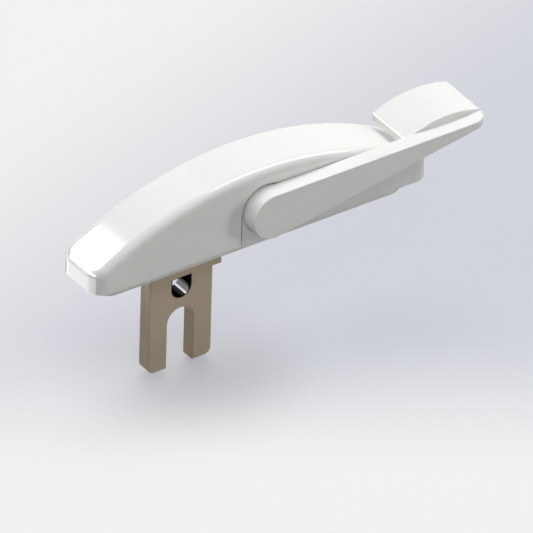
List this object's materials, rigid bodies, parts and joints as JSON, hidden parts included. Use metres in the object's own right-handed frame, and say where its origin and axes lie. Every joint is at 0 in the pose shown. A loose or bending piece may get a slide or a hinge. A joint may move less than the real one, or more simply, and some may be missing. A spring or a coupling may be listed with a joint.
{
  "type": "window locking handle",
  "caption": "Long arched window lock handle: a side lever with a thumb tab turns a pinion that drives a forked tongue along a slot in the base.",
  "frame": {"origin": "centre of the cover's rim, midway between the mounting holes, on the face of the window frame", "axes": "+X along the cover towards the lever's tip, +Y across it away from the lever, +Z out of the window frame"},
  "size_m": [0.1334, 0.0244, 0.063],
  "materials": {
    "white_paint": "gloss",
    "base_paint": "satin",
    "tan_paint": "satin",
    "steel": "satin",
    "dark_steel": "satin",
    "polished_steel": "polished",
    "nylon": "matt"
  },
  "bodies": {
    "frame": {"cover": "white_paint", "base": "base_paint", "front_bush": "nylon", "rear_bush": "nylon", "left_keeper": "steel", "right_keeper": "steel", "keeper_screws": "steel"},
    "lever": {"lever": "white_paint", "spindle": "steel", "grub_screw": "dark_steel", "drive_gear": "steel", "spring_washer": "dark_steel", "thrust_washer": "nylon", "gear_washer": "steel", "retaining_clip": "dark_steel"},
    "fork": {"rack_slide": "steel", "fork": "tan_paint", "fork_pins": "steel", "fork_sleeve": "polished_steel", "front_glide": "nylon", "rear_glide": "nylon"}
  },
  "joints": [
    {"name": "lever_turn", "type": "hinge", "parent": "frame", "child": "lever", "pos_m": [0.0007, 0, 0.0101], "axis": [0, -1, 0], "range_deg": [0, 165]},
    {"name": "fork_slide", "type": "slide", "parent": "frame", "child": "fork", "axis": [1, 0, 0], "range_m": [0, 0.0303]}
  ],
  "couplings": [
    {"joint": "fork_slide", "follows": "lever_turn", "m_per_rad": 0.0105}
  ]
}
